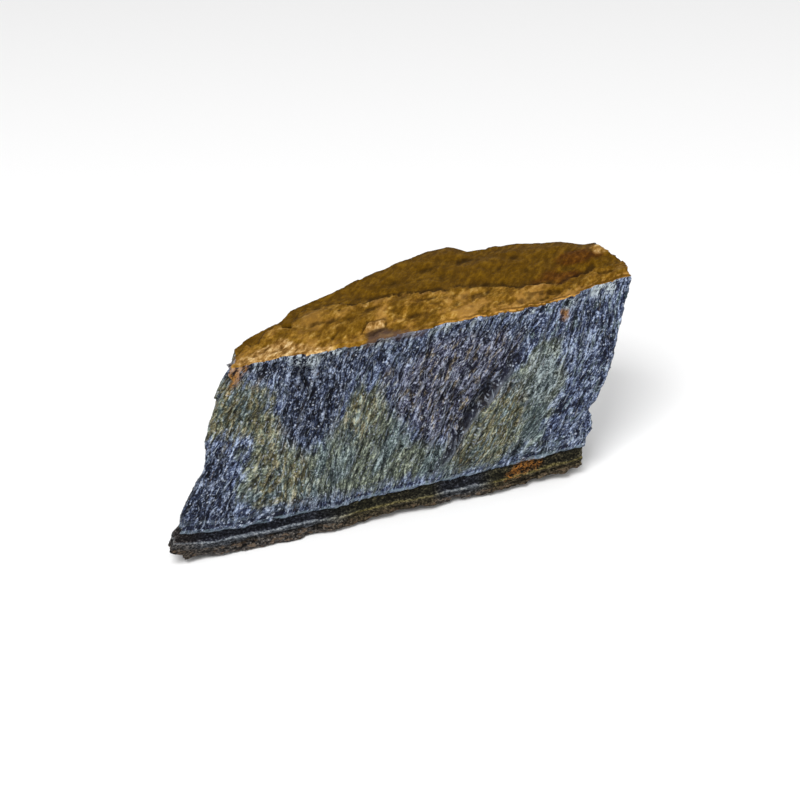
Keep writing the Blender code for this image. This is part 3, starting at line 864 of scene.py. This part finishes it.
def blue_fibres():
    """The sides: silky fibres, slate blue with olive, navy and violet zones, painted shade in hollows and
    slots, painted shadows by the crack and in front of the chip, painted glints and highlights, and pale and
    navy lines just above the base."""
    material, net, shader = new_material("blue_fibres")
    place = put(net, "Attribute", {"attribute_name": "fibre_place"}, {}).outputs["Vector"]
    above_layers = read_note(net, "layers")[0]
    olive, navy, violet = read_note(net, "tints")
    rust, pale, hollow = read_note(net, "marks")
    warm, crack, chip_shadow = read_note(net, "moods")
    shine, browned, darkened = read_note(net, "splinter_tints")
    streaks = pattern(net, "fibre_streaks", place, 0.28, 0.7)
    grain = pattern(net, "stone_grain", stone_place(net), 1.6, 0.35)
    hues = pattern(net, "stone_grain", place, 1.1, 2.6)
    streak = streaks["Streak"]
    by_streak = partial(shades, net, streak)
    teal_patch = times(net, span(net, hues["Cloud"], 0.3, 0.9), 0.8)
    greenish = mix(net, teal_patch, by_streak(OLIVE), by_streak(TEAL))
    warmth = times(net, warm, span(net, hues["Grain"], 0.15, 0.7))
    greenish = mix(net, warmth, greenish, by_streak(WARM))
    bluish = mix(net, span(net, hues["Grain"], 0.5, 0.95), by_streak(BLUE), by_streak(TEAL))
    mottled = scaled(net, calc(net, "SUBTRACT", hues["Grain"], 0.5), 0.5, olive)
    colour = mix(net, span(net, mottled, 0.1, 0.9), bluish, greenish)
    colour = mix(net, navy, colour, by_streak(NAVY))
    colour = mix(net, violet, colour, by_streak(VIOLET))
    brown_fleck = scaled(net, violet, 0.75, times(net, warm, 0.4))
    brown_fleck = times(net, brown_fleck, span(net, hues["Grain"], 0.5, 0.85))
    colour = mix(net, brown_fleck, colour, by_streak(RUSTY))
    slot_shade_share = scaled(net, calc(net, "MAXIMUM", navy, violet), 0.6, 0.15)
    calm = times(net, olive, calc(net, "SUBTRACT", 1, navy))
    gap_and_shadow_share = scaled(net, calm, -0.35, 0.8)
    base_lines = thin_lines(net, BASE_LINES, above_layers, 0.15, span(net, grain["Grain"], 0, 0.85))
    colour = laid_over(net, colour, [
        # painted shadow along the crack
        (crack, 0.9, tone(22, 22, 34)),
        # painted shade in narrow hollows along the fibres
        (streaks["Slot_shade"], slot_shade_share, tone(10, 11, 20)),
        # painted shadows beside the lit lines, and dark joints between bundles
        (streaks["Gap_and_shadow"], gap_and_shadow_share, tone(12, 13, 22)),
        *base_lines,
        # painted highlights along the top of the sides and on small ledges, with the light patch's lighter
        # fibres
        (times(net, pale, span(net, streak, 0.2, 0.75)), 0.9, tone(176, 186, 190)),
        # painted glints and lit lines
        (streaks["Glint"], scaled(net, calm, -0.25, 0.65), tone(188, 197, 212)),
        (times(net, rust, span(net, streak, 0, 0.5)), 0.85, tone(146, 98, 24)),
        # painted shadow in front of the chip
        (chip_shadow, 0.6, tone(88, 74, 70)),
        # painted highlight: the crests that stand out of the skin are lightened
        (span(net, hollow, -0.05, -0.3), 0.25, tone(150, 158, 170)),
        (span(net, shine, 0.5, 1), 0.6, tone(176, 188, 202)),
        (span(net, browned, 0.8, 1), 0.4, tone(116, 98, 74)),
        (times(net, span(net, darkened, 0.4, 1), gap_and_shadow_share), 0.85, tone(24, 26, 38)),
    ])
    # painted shade: the colour is darkened in the skin's hollows
    colour = shaded(net, colour, hollow, 0.14, tone(20, 22, 30))
    roughness = scaled(net, streak, -0.2, 0.55)
    finish_stone(net, shader, colour, roughness, streaks["Height"], FIBRE_GLOSS)
    return material


def limonite_crust():
    """The top: a golden brown crust, light and knobbly in front, smooth and dark brown behind, with a
    sandy corner and thin copper lines along its front edge."""
    material, net, shader = new_material("limonite_crust")
    _, rim_place, laminated = read_note(net, "layers")
    light_strip, red_brown, sand = read_note(net, "crust_zones")
    hollow = read_note(net, "marks")[2]
    chip_shadow = read_note(net, "moods")[2]
    turned = put(net, "VectorRotate", {"rotation_type": "Z_AXIS"},
                 {"Vector": stone_place(net), "Angle": -CRUST_SWEEP}).outputs[0]
    long_grain = put(net, "VectorMath", {"operation": "MULTIPLY"}, {0: turned, 1: ALONG_SWEEP}).outputs[0]
    grain = pattern(net, "stone_grain", long_grain, 1.1, 1.1)
    by_grain = partial(shades, net, grain["Grain"])
    colour = mix(net, light_strip, by_grain(BROWN), by_grain(GOLD))
    patches = pattern(net, "stone_grain", long_grain, 5, 5)["Grain"]
    speckled = times(net, laminated, span(net, grain["Grain"], 0.1, 0.8))
    rim_lines = thin_lines(net, RIM_LINES, rim_place, 0.08, speckled)
    colour = laid_over(net, colour, [
        (red_brown, 0.8, by_grain(RED_BROWN)),
        (grain["Cloud"], 0.22, tone(76, 50, 10)),
        (times(net, light_strip, span(net, patches, 0.45, 0.95)), 0.6, tone(170, 127, 62)),
        (times(net, light_strip, span(net, patches, 0.45, 0.05)), 0.75, by_grain(BROWN)),
        (sand, 0.9, by_grain(SAND)),
        *rim_lines,
        # painted shadow in front of the chip
        (chip_shadow, 0.75, tone(76, 60, 56)),
    ])
    # painted shade: the colour is darkened in the skin's hollows
    colour = shaded(net, colour, hollow, 0.14, tone(44, 26, 6))
    roughness = scaled(net, grain["Grain"], -0.1, 0.7)
    finish_stone(net, shader, colour, roughness, grain["Height"], CRUST_GLOSS)
    return material


def ironstone():
    """The base: a dark speckled layer, a thin light line, a grey to olive layer and a rough broken edge."""
    material, net, shader = new_material("ironstone_layers")
    place = stone_place(net)
    rust, _, hollow = read_note(net, "marks")
    olive, brown, above_gold = read_note(net, "base_tints")
    grain = pattern(net, "stone_grain", place, 0.5, 0.32)
    patches = pattern(net, "stone_grain", place, 1.6, 0.5)
    chip = tone_of_cell(net, stretched(net, place, 0.8, 0.35))
    layer = scaled(net, calc(net, "SUBTRACT", patches["Cloud"], 0.5), 0.3, above_gold)
    by_grain = partial(shades, net, grain["Grain"])
    kinds = ((SLATE_DARK, OLIVE_DARK), (SLATE_PALE, OLIVE_PALE), (SLATE_LOW, OLIVE_LOW))
    dark, pale, low = (mix(net, olive, by_grain(bluish), by_grain(greenish)) for bluish, greenish in kinds)
    colour = mix(net, span(net, layer, -0.18, -0.02), low, pale)
    colour = mix(net, span(net, layer, 0.12, 0.3), colour, dark)
    under = span(net, layer, -0.9, -1.6)
    colour = laid_over(net, colour, [
        (brown, 0.5, by_grain(BROWN_DARK)),
        (under, 0.6, by_grain(BROWN_DARK)),
        (times(net, span(net, chip, 0.8, 0.84), under), 0.3, tone(138, 114, 90)),
        (times(net, rust, span(net, grain["Grain"], 0.3, 0.75)), 0.9, tone(164, 106, 44)),
    ])
    # painted shade: the colour is darkened in the skin's hollows
    colour = shaded(net, colour, hollow, 0.12, tone(20, 18, 14))
    roughness = scaled(net, grain["Grain"], -0.1, 0.7)
    finish_stone(net, shader, colour, roughness, grain["Height"], FIBRE_GLOSS)
    return material


# ---------------- the stone
def solid_fit(places):
    """How places in millimetres are stretched and moved, in metres, for their box to be the solid's."""
    low, high = (np.array(corner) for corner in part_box(NODE))
    least, most = places.min(axis=0), places.max(axis=0)
    stretch = (high - low) / (most - least)
    return lambda loose: np.clip(low + (loose - least) * stretch, low, high)


def make_splinters(fit, fibres):
    """All the loose splinters of the four broken sides, as one mesh of closed slivers."""
    random = np.random.default_rng(SEED)
    made = [splinters_on(side, count, random) for side, count in SIDES.items()]
    rings = np.concatenate([rings for rings, _, _ in made])
    firsts = np.cumsum([0] + [len(rings) for rings, _, _ in made[:-1]])
    faces = np.concatenate([faces + first for (_, _, faces), first in zip(made, firsts)])
    splinters_mesh = new_mesh("splinters", fit(rings[:, :3]), faces)
    write_notes(splinters_mesh.data, np.zeros(len(rings)), *rings[:, 3:].T)
    note(splinters_mesh.data, "splinter_tints", *np.concatenate([tints for _, tints, _ in made]).T)
    splinters_mesh.data.materials.append(fibres)
    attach(splinters_mesh, "root")
    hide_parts(NODE)


def make_stone():
    """The whole stone as one closed skin, with its three finishes, and the splinters on it."""
    shares, faces, sides = block_skin(CELLS)
    a, b, c = (crowd(shares[:, k], END_CROWDING[k]) for k in range(3))
    places, x, y, z = shape(a, b, c)
    fit = solid_fit(places)
    stone = new_mesh("stone", fit(places), faces)
    write_notes(stone.data, hollows(places, faces, HOLLOW_ROUNDS), x, y, z)
    fibres = blue_fibres()
    make_splinters(fit, fibres)
    for material in (fibres, limonite_crust(), ironstone()):
        stone.data.materials.append(material)
    middle_x, middle_y, middle_z = (values[faces].mean(axis=1) for values in (x, y, z))
    below_edge = line(TOP_FRONT, middle_x) - middle_z
    rim = line(RIM_DEPTH, middle_x) * (1 + 0.3 * rough(middle_x / 1.3 + middle_y, middle_z, SEED + 230))
    in_crust = (sides == 5) | (below_edge < rim)
    in_base = (sides == 4) | (middle_z < line(BAND_TOP, middle_x) + 0.1)
    slots = np.where(in_crust, 1, np.where(in_base, 2, 0)).astype(np.int32)
    stone.data.polygons.foreach_set("material_index", slots)
    stone.data.polygons.foreach_set("use_smooth", np.ones(len(faces), bool))
    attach(stone, "root")
    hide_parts(NODE)


# ---------------- studio
CAMERA_TURN, CAMERA_RISE = np.radians(-24.5), np.radians(27.0)
CAMERA_TARGET = Vector((1.2, -5.7, 20.8)) * MM
CAMERA_DISTANCE = 444.4 * MM
CAMERA_LENS = 100.0
FLOOR_REACH = 30.0                  # metres from the stone
HORIZON_TO, CEILING = 0.3, 0.6      # the room is white at the horizon and greyer above it


def aim(thing, place, target):
    """Puts a camera or light at a place, looking at the target."""
    thing.location = place
    thing.rotation_euler = (target - place).to_track_quat("-Z", "Y").to_euler()


def make_camera():
    """The camera, at its turn and rise round the target."""
    lens = bpy.data.cameras.new("camera")
    lens.lens = CAMERA_LENS
    lens.clip_start = 0.01
    camera = in_scene("camera", lens)
    flat = np.cos(CAMERA_RISE)
    away = Vector((np.sin(CAMERA_TURN) * flat, -np.cos(CAMERA_TURN) * flat, np.sin(CAMERA_RISE)))
    aim(camera, CAMERA_TARGET + away * CAMERA_DISTANCE, CAMERA_TARGET)
    bpy.context.scene.camera = camera


def make_light(name, place, size, power):
    """A square soft light aimed at the stone."""
    lamp = bpy.data.lights.new(name, "AREA")
    lamp.size = size
    lamp.energy = power
    aim(in_scene(name, lamp), Vector(place), CAMERA_TARGET)


def make_studio():
    """A pale floor, soft light all round and two large lamps."""
    corners = FLOOR_REACH * np.array([(-1, -1, 0), (1, -1, 0), (1, 1, 0), (-1, 1, 0)])
    floor = new_mesh("floor", corners, np.array([(0, 1, 2, 3)]))
    material, net, shader = new_material("floor_paper")
    shader.inputs["Base Color"].default_value = tone(246, 246, 246)
    shader.inputs["Roughness"].default_value = 0.9
    shader.inputs["Specular IOR Level"].default_value = 0
    floor.data.materials.append(material)
    world = bpy.data.worlds.new("soft_room")
    world.use_nodes = True
    net = world.node_tree
    direction = put(net, "TexCoord", {}, {}).outputs["Generated"]
    height = put(net, "SeparateXYZ", {}, {"Vector": direction}).outputs["Z"]
    room = shades(net, height, [(0, (1, 1, 1, 1)), (HORIZON_TO, (CEILING, CEILING, CEILING, 1))])
    net.links.new(room, net.nodes["Background"].inputs["Color"])
    bpy.context.scene.world = world
    make_light("key_light", (-0.35, -0.40, 0.62), 0.35, 5.5)
    make_light("fill_light", (0.55, -0.45, 0.35), 0.5, 1.5)
    bpy.context.scene.view_settings.view_transform = "Standard"


fibre_streaks_group()
stone_grain_group()
make_stone()
make_studio()
make_camera()
